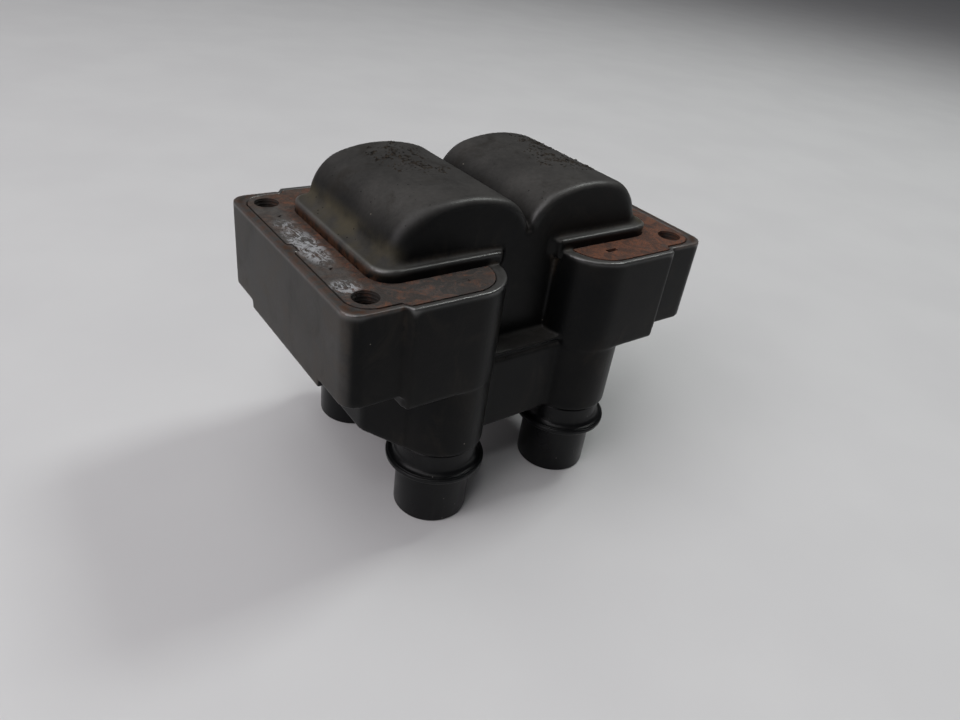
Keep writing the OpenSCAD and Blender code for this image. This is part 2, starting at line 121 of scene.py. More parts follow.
def apply_modifiers(obj):
    deps = bpy.context.evaluated_depsgraph_get()
    mesh = bpy.data.meshes.new_from_object(obj.evaluated_get(deps))
    old = obj.data
    obj.modifiers.clear()
    obj.data = mesh
    bpy.data.meshes.remove(old)


def coords(mesh):
    co = np.empty(len(mesh.vertices) * 3, np.float32)
    mesh.vertices.foreach_get("co", co)
    return co.reshape(-1, 3).astype(float)


def set_coords(mesh, co):
    mesh.vertices.foreach_set("co", co.astype(np.float32).ravel())
    mesh.update()


def add_attribute(mesh, name, values):
    attribute = mesh.attributes.new(name, "FLOAT", "POINT")
    attribute.data.foreach_set("value", values.astype(np.float32))


def add_block(bm, low, high):
    for vert in bmesh.ops.create_cube(bm, size=1.0)["verts"]:
        vert.co = Vector([(high[i] + low[i]) / 2 + vert.co[i] * (high[i] - low[i]) for i in range(3)])


def add_prism(bm, outline, low, high):
    """Upright prism over an outline that runs anticlockwise."""
    bottom = [bm.verts.new((x, y, low)) for x, y in outline]
    top = [bm.verts.new((x, y, high)) for x, y in outline]
    bm.faces.new(list(reversed(bottom)))
    bm.faces.new(top)
    count = len(outline)
    for i in range(count):
        j = (i + 1) % count
        bm.faces.new((bottom[i], bottom[j], top[j], top[i]))


def add_rings(bm, rings):
    """Closed skin through rings of equal length, with flat ends."""
    made = [[bm.verts.new(p) for p in ring] for ring in rings]
    count = len(made[0])
    for a, b in zip(made, made[1:]):
        for i in range(count):
            j = (i + 1) % count
            bm.faces.new((a[i], a[j], b[j], b[i]))
    bm.faces.new(list(reversed(made[0])))
    bm.faces.new(made[-1])


def smoothstep(value, start, end):
    t = np.clip((value - start) / (end - start), 0, 1)
    return t * t * (3 - 2 * t)


# ---------- case: hidden rooms closed, edges rounded, one moulded skin ----------

def lid_outline():
    """Quarter of the lower body's outline, half a wall inside its faces."""
    corner_r = LOWER_R - HALF_WALL
    pedestal_r = PEDESTAL_R - HALF_WALL
    corner_x = LOWER_X - LOWER_R
    dx = TOWER_X - corner_x
    dy = TOWER_Y - LOWER_CORNER_Y
    side = math.atan2(dy, dx) - math.acos((corner_r - pedestal_r) / math.hypot(dx, dy))
    cos, sin = math.cos(side), math.sin(side)
    return [
        (0, 0), (LOWER_X - HALF_WALL, 0), (LOWER_X - HALF_WALL, LOWER_CORNER_Y),
        (corner_x + corner_r * cos, LOWER_CORNER_Y + corner_r * sin),
        (TOWER_X + pedestal_r * cos, TOWER_Y + pedestal_r * sin),
        (TOWER_X, TOWER_Y), (TOWER_X, LOWER_Y - HALF_WALL), (0, LOWER_Y - HALF_WALL)]


def add_plugs(bm):
    """Closes every way into the hidden rooms, a little above the resin."""
    lid_bottom, lid_top = CASE_Z + 4 * MM, CASE_Z + 8 * MM
    stem, stem_top = 4.5 * MM, CASE_Z + 12 * MM
    for sx, sy in CORNERS.values():
        outline = [(sx * x, sy * y) for x, y in lid_outline()]
        if sx * sy < 0:
            outline.reverse()
        add_prism(bm, outline, lid_bottom, lid_top)
        x, y = sx * TOWER_X, sy * TOWER_Y
        add_block(bm, (x - stem, y - stem, lid_bottom + 1 * MM), (x + stem, y + stem, stem_top))
    half = BAR_HALF_X + 0.5 * MM
    inset = 0.2 * MM
    for sx in (-1, 1):
        add_block(bm, (sx * DOME_X - half, -BAR_HALF_Y, bar_lo.z + inset),
                  (sx * DOME_X + half, BAR_HALF_Y, RIM_Z - inset))
    low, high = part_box("connector_shroud")
    rim, depth = 1 * MM, 2.5 * MM
    add_block(bm, (low.x - rim, low.y - rim, low.z - rim), (high.x + rim, low.y + depth, high.z + rim))


def add_fillers(bm):
    """Fills the bottom of the valley between the domes, in two steps, and eases the ledge's inner ends."""
    half, bottom = 2.5 * MM, RIM_Z - 4 * MM
    for setback, rise in ((0, 2.4 * MM), (0.9 * MM, 3.3 * MM)):
        front = DOME_HALF_Y - setback
        add_block(bm, (-half, -front, bottom), (half, front, SPRING_Z + rise))
    wedge = ((9.2, 21.5), (6.6, 21.9), (8.2, 22.5), (9.2, 23.9))
    for sx, sy in CORNERS.values():
        outline = [(sx * x * MM, sy * y * MM) for x, y in wedge]
        if sx * sy > 0:
            outline.reverse()
        add_prism(bm, outline, RIM_Z - 1.0 * MM, LEDGE_Z - 0.05 * MM)


def add_sunk_steel(bm):
    """The two C cores with their tops lowered, so that their pockets are shallow."""
    for node in ("core_c_left", "core_c_right"):
        start = len(bm.verts)
        bm.from_mesh(nodes[node].data)
        bm.verts.ensure_lookup_table()
        for vert in bm.verts[start:]:
            if vert.co.z > RIM_Z - 0.1 * MM:
                vert.co.z -= 2.5 * MM


def dome_section(steps):
    """Points and outward normals of a dome's arch, from its left foot to its right foot."""
    side_x = DOME_HALF_X - ARCH_R
    drop = (side_x ** 2 - ARCH_FLAT ** 2) / (2 * ARCH_FLAT)
    top_r = CREST_Z - SPRING_Z + drop
    turn = math.atan2(drop, side_x)
    half = []
    for i in range(steps):
        t = turn * i / steps
        half.append((side_x + ARCH_R * math.cos(t), ARCH_R * math.sin(t), math.cos(t), math.sin(t)))
    for i in range(steps + 1):
        t = turn + (math.pi / 2 - turn) * i / steps
        half.append((top_r * math.cos(t), top_r * math.sin(t) - drop, math.cos(t), math.sin(t)))
    foot = (DOME_HALF_X, RIM_Z - SPRING_Z, 1.0, 0.0)
    right = [foot] + half
    left = [(-x, z, -nx, nz) for x, z, nx, nz in right[:-1]]
    return left + right[::-1]


def add_dome(bm, side):
    """A dome whose front edge is sharper on the crest and on the inner flank than on the outer one."""
    section = dome_section(14)
    ends = [(-1, t) for t in (90, 72, 54, 36, 18, 0)] + [(1, t) for t in (0, 30, 60, 90)]
    rings = []
    for end, degrees in ends:
        t = math.radians(degrees)
        ring = []
        for x, z, nx, nz in section:
            outer = smoothstep(side * x / DOME_HALF_X, 0.15, 0.95)
            r = FRONT_EDGE_R + SHOULDER_EXTRA * outer if end < 0 else BACK_EDGE_R
            inset = r * (1 - math.cos(t))
            y = end * (DOME_HALF_Y - r + r * math.sin(t))
            ring.append((side * DOME_X + x - inset * nx, y, SPRING_Z + z - inset * nz))
        rings.append(ring)
    add_rings(bm, rings)


def dome_foot(steps):
    """Points and outward normals around the plan of the two domes."""
    cx, cy = DOME_X + DOME_HALF_X - PLAN_R, DOME_HALF_Y - PLAN_R
    corners = [(cx, -cy, -90), (cx, cy, 0), (-cx, cy, 90), (-cx, -cy, 180)]
    straight_steps = 40
    points = []
    for n, (x, y, start) in enumerate(corners):
        for i in range(steps + 1):
            t = math.radians(start + 90 * i / steps)
            nx, ny = math.cos(t), math.sin(t)
            points.append((x + PLAN_R * nx, y + PLAN_R * ny, nx, ny))
        next_x, next_y, _ = corners[(n + 1) % 4]
        for i in range(1, straight_steps):
            share = i / straight_steps
            along = (x + (next_x - x) * share, y + (next_y - y) * share)
            points.append((along[0] + PLAN_R * nx, along[1] + PLAN_R * ny, nx, ny))
    return points


def add_cove(bm):
    """Concave sweep from the ledge into the domes, broad outside and tight at front and back.

    Its section starts under the ledge, follows the sweep and ends inside the domes."""
    arc = [math.radians(t) for t in range(0, 91, 10)]
    sweep = [((1 - math.sin(t)) - 0.15 * (1 - math.cos(t)), 0.95 * (1 - math.cos(t))) for t in arc]
    section = [(out, up, 0, 0) for out, up in sweep]
    section.insert(0, (1, 0, 0, -1.2 * MM))
    section.append((sweep[-1][0], 0, -COVE_OVERLAP, -1.0 * MM))
    sunk = 0.02 * MM
    rings = []
    for out, up, shift, level in section:
        ring = []
        for x, y, nx, ny in dome_foot(10):
            outer = smoothstep(abs(nx), 0.05, 0.95)
            reach = (COVE_TIGHT + COVE_EXTRA * outer) * smoothstep(abs(x), 9.0 * MM, 11.0 * MM)
            d = reach * out + shift
            ring.append((x + d * nx, y + d * ny, LEDGE_Z + reach * up + level - sunk))
        rings.append(ring)
    add_rings(bm, rings)


def shape_case(co):
    """Sets the pedestals back a little below the bulges."""
    setback = 0.22 * MM
    x, y, z = co[:, 0], co[:, 1], co[:, 2]
    for sx, sy in CORNERS.values():
        dx, dy = x - sx * TOWER_X, y - sy * TOWER_Y
        r = np.hypot(dx, dy)
        near = (r > PEDESTAL_R - 0.6 * MM) & (r < PEDESTAL_R + 0.3 * MM) & (z < BULGE_BOTTOM + 1 * MM)
        inset = setback * (1 - smoothstep(z, BULGE_BOTTOM - 0.3 * MM, BULGE_BOTTOM + 0.2 * MM))
        inset = inset * smoothstep(r, PEDESTAL_R - 0.6 * MM, PEDESTAL_R - 0.2 * MM)
        scale = 1 - inset / np.maximum(r, 1 * MM)
        x[near] = (sx * TOWER_X + dx * scale)[near]
        y[near] = (sy * TOWER_Y + dy * scale)[near]
    return np.stack([x, y, z], 1)


# patches of baked dirt: centre x and y, half length in x and y, all in mm
CRUSTS = [(-19.5, 9.0, 7.5, 9.5), (-17.5, 0.5, 6.0, 5.0), (26.0, 9.0, 5.0, 9.0), (22.0, -4.0, 7.0, 9.0)]


def crust_at(p):
    """Share of dirt and its height at a point in mm."""
    zone = max(1 - math.hypot((p.x - cx) / rx, (p.y - cy) / ry) for cx, cy, rx, ry in CRUSTS)
    if zone < -0.30:
        return 0.0, 0.0
    patch = noise.fractal(p * 0.30, 0.7, 2.1, 4)
    grain = noise.fractal(p * 1.45, 0.9, 2.0, 2)
    solid = smoothstep(patch + 0.75 * zone, 0.26, 0.50)
    crumb = smoothstep(grain, 0.0, 0.30)
    stray = smoothstep(noise.noise(p * 1.3 + Vector((9, 4, 2))), 0.40, 0.52) * smoothstep(zone, -0.30, 0.20)
    return max(solid * (0.25 + 0.75 * crumb), stray), max(solid * (0.10 + 0.55 * crumb), 0.40 * stray)


def add_crust(mesh):
    """Raises granular dirt on the crests and keeps its outline in an attribute."""
    depth = 4.5 * MM
    height = 0.45 * MM
    co = coords(mesh)
    crust = np.zeros(len(co))
    lift = np.zeros(len(co))
    for i in np.nonzero(co[:, 2] > CREST_Z - depth)[0]:
        crust[i], lift[i] = crust_at(Vector(co[i]) / MM)
    co[:, 2] += lift * height
    set_coords(mesh, co)
    add_attribute(mesh, "crust", crust)


def neighbour_mean(mesh, values):
    """Mean of each value over the vertices that share an edge with its own."""
    edges = np.empty(len(mesh.edges) * 2, np.int32)
    mesh.edges.foreach_get("vertices", edges)
    a, b = edges.reshape(-1, 2).T
    count = np.bincount(np.concatenate([a, b]), minlength=len(values)).clip(1)
    total = np.zeros_like(values)
    for i in range(values.shape[1]):
        weights = np.concatenate([values[b, i], values[a, i]])
        total[:, i] = np.bincount(np.concatenate([a, b]), weights=weights, minlength=len(values))
    return total / count[:, None]


def add_edge_masks(mesh, spacing, rounds=6):
    """Point attributes: the outward-edge mask is 1 on outward edges, and the case paint uses it for wear and
    for a painted highlight; hollow is 1 in inward ones.
    """
    flat, sharp = 0.012, 0.07
    co = coords(mesh)
    normals = np.empty(len(co) * 3, np.float32)
    mesh.vertices.foreach_get("normal", normals)
    normals = normals.reshape(-1, 3).astype(float)
    bend = ((co - neighbour_mean(mesh, co)) * normals).sum(1)[:, None] / spacing
    for _ in range(rounds):
        bend = neighbour_mean(mesh, bend)
    bend = bend[:, 0]
    for name, values in (("edge_wear_and_highlight", bend), ("hollow", -bend)):
        add_attribute(mesh, name, smoothstep(values, flat, sharp))


def make_case():
    voxel = 0.42 * MM
    bm = bmesh.new()
    bm.from_mesh(nodes["case"].data)
    add_plugs(bm)
    add_sunk_steel(bm)
    for side in (-1, 1):
        add_dome(bm, side)
    add_cove(bm)
    add_fillers(bm)
    obj = finished("moulded_case", bm)
    mod = obj.modifiers.new("voxels", "REMESH")
    mod.mode = "VOXEL"
    mod.voxel_size = voxel
    apply_modifiers(obj)
    set_coords(obj.data, shape_case(coords(obj.data)))
    soft = obj.modifiers.new("soft", "SMOOTH")
    soft.factor = 0.5
    soft.iterations = 6
    apply_modifiers(obj)
    for poly in obj.data.polygons:
        poly.use_smooth = True
    add_edge_masks(obj.data, voxel)
    add_crust(obj.data)
    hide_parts("case")
    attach(obj, "root")
    return obj


# ---------- towers: lathe work ----------

def rounded_profile(corners):
    """Corners are (radius from the axis, height, rounding), and each becomes an arc."""
    points = []
    for i, (r, z, fillet) in enumerate(corners):
        if fillet == 0:
            points.append((r, z))
            continue
        here = Vector((r, z))
        back = (Vector(corners[i - 1][:2]) - here).normalized()
        ahead = (Vector(corners[i + 1][:2]) - here).normalized()
        half = back.angle(ahead) / 2
        start = here + back * fillet / math.tan(half)
        centre = here + (back + ahead).normalized() * fillet / math.sin(half)
        first = start - centre
        sweep = math.pi - 2 * half
        if back.x * ahead.y - back.y * ahead.x > 0:
            sweep = -sweep
        for k in range(6):
            a = sweep * k / 5
            turned = Vector((first.x * math.cos(a) - first.y * math.sin(a),
                             first.x * math.sin(a) + first.y * math.cos(a)))
            points.append(tuple(centre + turned))
    return points


def lathe(name, profile, x, y, segments=96):
    """Turns a profile of (radius, height) about the upright axis at x, y."""
    bm = bmesh.new()
    rings = []
    for r, z in profile:
        if r < 1e-6:
            rings.append([bm.verts.new((x, y, z))])
            continue
        angles = [2 * math.pi * i / segments for i in range(segments)]
        rings.append([bm.verts.new((x + r * math.cos(a), y + r * math.sin(a), z)) for a in angles])
    for a, b in zip(rings, rings[1:]):
        for i in range(segments):
            j = (i + 1) % segments
            corners = [a[i % len(a)], a[j % len(a)], b[j % len(b)], b[i % len(b)]]
            bm.faces.new(list(dict.fromkeys(corners)))
    bmesh.ops.recalc_face_normals(bm, faces=bm.faces)
    return finished(name, bm)


def make_tower(corner):
    sx, sy = CORNERS[corner]

    # radii and heights in mm: an open tube down to the floor, a flange, and a neck that enters the case
    bore, tube, bead, neck, seat = 6.7, 10.0, 10.3, 10.9, 10.45
    flange = FLANGE_R / MM
    web_z, bead_z, flange_z, flange_top, neck_top, top = 21.0, 15.0, 16.2, 17.6, 23.2, 30.8
    corners = [
        (0.0, web_z, 0), (bore, web_z, 0.6), (bore, 0.0, 0.7), (tube, 0.0, 0.55),
        (tube, bead_z - 0.1, 0.25), (bead, bead_z + 0.1, 0.15), (bead, flange_z, 0.4),
        (flange, flange_z, 0.35), (flange, flange_top, 0.45), (neck, flange_top - 0.25, 1.7),
        (neck, neck_top, 0.4), (seat, neck_top + 0.5, 0.2), (seat, top, 0), (0.0, top, 0)]
    profile = rounded_profile([(r * MM, z * MM, fillet * MM) for r, z, fillet in corners])
    obj = lathe("lead_tower_" + corner, profile, sx * TOWER_X, sy * TOWER_Y)
    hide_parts("ht_tower_" + corner)
    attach(obj, "root")
    return obj


# ---------- steel cores: staked and slightly worn ----------

def stake_cutter(bm, x, y, angle, length=3.6 * MM, width=1.3 * MM, depth=0.9 * MM):
    """Wedge that leaves the lanced mark that locks the laminations together."""
    over = 0.3 * MM
    section = [(-width / 2, over), (width / 2, over), (width / 2, -depth), (-width / 2, -0.05 * MM)]
    turn = Matrix.Rotation(angle, 3, "Z")
    rings = []
    for end in (-1, 1):
        rings.append([turn @ Vector((end * length / 2, u, w)) + Vector((x, y, RIM_Z)) for u, w in section])
    add_rings(bm, rings)


# staking marks of the right core: x and y in mm, and turn in radians
STAKES = [(23.4, -28.3, 0), (23.4, 28.3, math.pi), (47.4, -14.0, 1.35), (46.4, 16.5, 1.2)]


def make_steel(node, side):
    bm = bmesh.new()
    bm.from_mesh(nodes[node].data)
    bmesh.ops.remove_doubles(bm, verts=bm.verts, dist=0.001 * MM)
    bmesh.ops.dissolve_limit(bm, angle_limit=0.02, verts=bm.verts, edges=bm.edges)
    obj = finished(node + "_stack", bm)
    cutter_bm = bmesh.new()
    for x, y, angle in STAKES:
        turn = angle if side > 0 else math.pi - angle
        stake_cutter(cutter_bm, side * x * MM, y * MM, turn)
    bmesh.ops.recalc_face_normals(cutter_bm, faces=cutter_bm.faces)
    cutter = finished("cutter", cutter_bm)
    cut = obj.modifiers.new("stakes", "BOOLEAN")
    cut.operation = "DIFFERENCE"
    cut.object = cutter
    bevel = obj.modifiers.new("worn", "BEVEL")
    bevel.width = 0.12 * MM
    bevel.segments = 2
    bevel.limit_method = "ANGLE"
    bevel.angle_limit = math.radians(50)
    apply_modifiers(obj)
    bpy.data.objects.remove(cutter)
    for poly in obj.data.polygons:
        poly.use_smooth = False
    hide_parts(node)
    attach(obj, "root")
    return obj


# ---------- materials ----------

class Paint:
    """Node tree of one material, with short calls for the nodes used here. Lengths are in mm."""

    def __init__(self, name):
        self.mat = bpy.data.materials.new(name)
        self.mat.use_nodes = True
        self.tree = self.mat.node_tree
        self.tree.nodes.clear()
        self.shader = self.new("ShaderNodeBsdfPrincipled")
        output = self.new("ShaderNodeOutputMaterial")
        self.tree.links.new(self.shader.outputs[0], output.inputs["Surface"])
        where = self.new("ShaderNodeTexCoord")
        scaled = self.new("ShaderNodeVectorMath")
        scaled.operation = "SCALE"
        self.tree.links.new(where.outputs["Object"], scaled.inputs[0])
        scaled.inputs["Scale"].default_value = 1 / MM
        self.place = scaled.outputs[0]
        split = self.new("ShaderNodeSeparateXYZ")
        self.tree.links.new(self.place, split.inputs[0])
        self.x, self.y, self.z = split.outputs
        facing = self.new("ShaderNodeNewGeometry")
        turned = self.new("ShaderNodeSeparateXYZ")
        self.tree.links.new(facing.outputs["Normal"], turned.inputs[0])
        self.nx, self.ny, self.nz = turned.outputs

    def new(self, kind):
        return self.tree.nodes.new(kind)

    def put(self, socket, value):
        if isinstance(value, bpy.types.NodeSocket):
            self.tree.links.new(value, socket)
        elif isinstance(value, (tuple, list)) and len(value) == 3 and socket.type == "RGBA":
            socket.default_value = (*value, 1)
        else:
            socket.default_value = value

    def calc(self, operation, a, b=0.0, clamp=False):
        node = self.new("ShaderNodeMath")
        node.operation = operation
        node.use_clamp = clamp
        self.put(node.inputs[0], a)
        self.put(node.inputs[1], b)
        return node.outputs[0]

    def mul(self, *values):
        result = values[0]
        for value in values[1:]:
            result = self.calc("MULTIPLY", result, value)
        return result

    def add(self, *values):
        result = values[0]
        for value in values[1:]:
            result = self.calc("ADD", result, value, clamp=True)
        return result

    def fade(self, value, start, end, low=0.0, high=1.0):
        node = self.new("ShaderNodeMapRange")
        node.interpolation_type = "SMOOTHSTEP"
        self.put(node.inputs["Value"], value)
        for socket, number in (("From Min", start), ("From Max", end), ("To Min", low), ("To Max", high)):
            node.inputs[socket].default_value = number
        return node.outputs["Result"]

    def between(self, value, low, high, soft):
        return self.mul(self.fade(value, low - soft, low + soft), self.fade(value, high + soft, high - soft))

    def attribute(self, name):
        node = self.new("ShaderNodeAttribute")
        node.attribute_name = name
        return node.outputs["Fac"]

    def stretched(self, stretch, shift=(0, 0, 0), turn=0.0):
        node = self.new("ShaderNodeMapping")
        self.tree.links.new(self.place, node.inputs["Vector"])
        node.inputs["Scale"].default_value = stretch
        node.inputs["Location"].default_value = shift
        node.inputs["Rotation"].default_value = (0, 0, turn)
        return node.outputs[0]

    def noise(self, size, detail=4, rough=0.55, place=None, wobble=0.0):
        node = self.new("ShaderNodeTexNoise")
        self.tree.links.new(place or self.place, node.inputs["Vector"])
        node.inputs["Scale"].default_value = 1 / size
        node.inputs["Detail"].default_value = detail
        node.inputs["Roughness"].default_value = rough
        node.inputs["Distortion"].default_value = wobble
        return node.outputs["Fac"]

    def cells(self, size, shift=(0, 0, 0)):
        node = self.new("ShaderNodeTexVoronoi")
        self.tree.links.new(self.stretched((1, 1, 1), shift), node.inputs["Vector"])
        node.inputs["Scale"].default_value = 1 / size
        return node.outputs["Distance"]

    def near(self, x, y, z, reach, soft, stretch=(1, 1, 1)):
        """1 within reach of a point, fading to 0 over soft."""
        shift = tuple(-c * s for c, s in zip((x, y, z), stretch))
        node = self.new("ShaderNodeVectorMath")
        node.operation = "LENGTH"
        self.tree.links.new(self.stretched(stretch, shift), node.inputs[0])
        return self.fade(node.outputs["Value"], reach + soft, reach)

    def mix(self, share, a, b):
        """Colour mix, whose colour sockets are numbers 6 and 7."""
        node = self.new("ShaderNodeMix")
        node.data_type = "RGBA"
        node.clamp_factor = True
        self.put(node.inputs["Factor"], share)
        self.put(node.inputs[6], a)
        self.put(node.inputs[7], b)
        return node.outputs[2]

    def blend(self, share, a, b):
        """Number mix."""
        node = self.new("ShaderNodeMix")
        self.put(node.inputs["Factor"], share)
        self.put(node.inputs[2], a)
        self.put(node.inputs[3], b)
        return node.outputs[0]

    def bump(self, height, depth, strength=1.0):
        node = self.new("ShaderNodeBump")
        node.inputs["Distance"].default_value = depth * MM
        node.inputs["Strength"].default_value = strength
        self.tree.links.new(height, node.inputs["Height"])
        self.tree.links.new(node.outputs[0], self.shader.inputs["Normal"])

    def finish(self, colour, rough, metal=0.0, specular=0.5):
        self.put(self.shader.inputs["Base Color"], colour)
        self.put(self.shader.inputs["Roughness"], rough)
        self.put(self.shader.inputs["Metallic"], metal)
        self.put(self.shader.inputs["Specular IOR Level"], specular)
        return self.mat


def case_plastic():
    p = Paint("case_plastic")
    up = p.fade(p.nz, 0.1, 0.95)
    cloud = p.noise(16, 4, 0.6, wobble=0.4)
    fine = p.noise(1.1, 3, 0.6)
    grit = p.noise(0.35, 2, 0.5)
    rim = RIM_Z / MM
    out = p.calc("ABSOLUTE", p.x)

    # clean plastic, and the grey-brown dust film that lies on whatever looks up; on the left end face, which
    # faces the left lamp, the same film is partly dust and partly painted light
    colour = p.mix(p.fade(cloud, 0.35, 0.7), (0.0028, 0.0031, 0.0034), (0.0056, 0.0054, 0.0051))
    end_x = case_lo.x / MM
    # painted light: the left end face is lightened with film where the left lamp falls on it, besides its
    # dust
    lit_left_end = p.mul(p.fade(p.nx, -0.5, -0.95), p.fade(p.x, end_x + 4.3, end_x + 1.3))
    film = p.mul(p.add(up, lit_left_end), p.fade(cloud, 0.25, 0.75, 0.55, 1.0),
                 p.fade(fine, 0.2, 0.8, 0.75, 1.0))
    colour = p.mix(p.mul(film, 0.9), colour, (0.067, 0.064, 0.0605))

    # the same film wiped and browner in patches on the left end
    worn = p.mul(lit_left_end, p.fade(p.noise(13, 5, 0.7, wobble=0.9), 0.44, 0.68), 0.65)
    colour = p.mix(worn, colour, (0.046, 0.038, 0.031))

    # brownish smudges on the upright faces
    smudge = p.mul(p.fade(p.noise(11, 5, 0.7, p.stretched((1, 1, 0.6)), wobble=0.8), 0.50, 0.72), 0.55)
    colour = p.mix(smudge, colour, (0.017, 0.014, 0.0108))

    # brown and olive dirt at the foot of the domes and in inward corners
    ring = p.between(p.z, rim + 2.0, rim + 7.0, 2.0)
    outer = p.fade(out, 33, 39)
    dirt = p.mul(ring, outer, p.fade(p.noise(9, 4, 0.6), 0.28, 0.72))
    colour = p.mix(p.mul(dirt, 0.95), colour, (0.070, 0.061, 0.041))
    hollow = p.mul(p.attribute("hollow"), p.fade(p.z, rim - 10.2, rim - 4.2), p.fade(fine, 0.3, 0.6))
    colour = p.mix(p.mul(hollow, 0.5), colour, (0.050, 0.038, 0.027))
    rust = p.mul(p.between(p.z, rim - 0.6, rim + 2.4, 0.5),
                 p.fade(out, 40.5, 42.2), p.fade(p.noise(2.5, 4, 0.7), 0.38, 0.6))
    colour = p.mix(p.mul(rust, 0.8), colour, (0.062, 0.028, 0.015))

    # crusts baked on to the crests
    crust = p.attribute("crust")
    tone = p.noise(0.9, 3, 0.7)
    soil = p.mix(p.fade(tone, 0.40, 0.62), (0.0025, 0.0022, 0.002), (0.034, 0.026, 0.019))
    soil = p.mix(p.fade(p.noise(4, 2), 0.52, 0.66), soil, (0.020, 0.015, 0.011))
    colour = p.mix(p.fade(crust, 0.15, 0.60), colour, soil)

    # scattered specks, dark and pale
    specks = p.mul(p.fade(p.cells(1.9, (11, 5, 2)), 0.13, 0.07), p.fade(p.nz, 0.2, 0.5))
    colour = p.mix(p.mul(specks, p.fade(p.noise(8, 2), 0.42, 0.56)), colour, (0.003, 0.0028, 0.0025))
    dots = p.fade(p.cells(6.5, (2, 9, 4)), 0.036, 0.020)
    colour = p.mix(p.mul(dots, 0.8), colour, (0.22, 0.20, 0.17))

    # edges lighter, partly rubbed wear and partly a painted highlight along them, kept off the ledge's inner
    # ends
    ends = p.add(p.fade(out, 9.3, 11.5), p.fade(p.z, rim + 4, rim + 6))
    edge_wear_and_highlight = p.mul(p.attribute("edge_wear_and_highlight"), p.fade(fine, 0.25, 0.7, 0.35, 1.0), ends)
    rubbed = p.mul(edge_wear_and_highlight, p.fade(p.z, rim - 2.2, rim - 0.2, 0.10, 0.32))
    # painted highlight: this lighter colour on the edges stands in for the highlight lines along them, as
    # well as for wear
    colour = p.mix(rubbed, colour, (0.080, 0.079, 0.077))

    rough = p.blend(film, 0.36, 0.52)
    rough = p.blend(p.add(dirt, crust), rough, 0.85)
    rough = p.blend(edge_wear_and_highlight, rough, 0.30)
    p.bump(p.add(p.mul(grit, 0.25), p.mul(fine, 0.15), p.mul(dirt, grit, 0.4)), 0.12, 0.8)
    shine = p.blend(p.mul(p.attribute("edge_wear_and_highlight"), p.fade(p.z, rim - 2.7, rim - 0.7), ends), 0.12, 1.1)
    return p.finish(colour, rough, specular=shine)


def tower_plastic():
    p = Paint("tower_plastic")
    cloud = p.noise(9, 3, 0.5)
    rubbed = p.fade(p.noise(2.5, 4, 0.6, p.stretched((1, 1, 0.2))), 0.52, 0.7)
    colour = p.mix(p.mul(rubbed, 0.5), (0.0035, 0.0037, 0.0042), (0.0095, 0.0095, 0.0100))
    colour = p.mix(p.mul(p.fade(p.cells(3.6), 0.05, 0.03), 0.8), colour, (0.20, 0.19, 0.18))
    rough = p.blend(p.fade(cloud, 0.3, 0.7), 0.27, 0.38)
    p.bump(p.noise(0.8, 3, 0.5), 0.03, 0.5)
    return p.finish(colour, rough, specular=0.2)


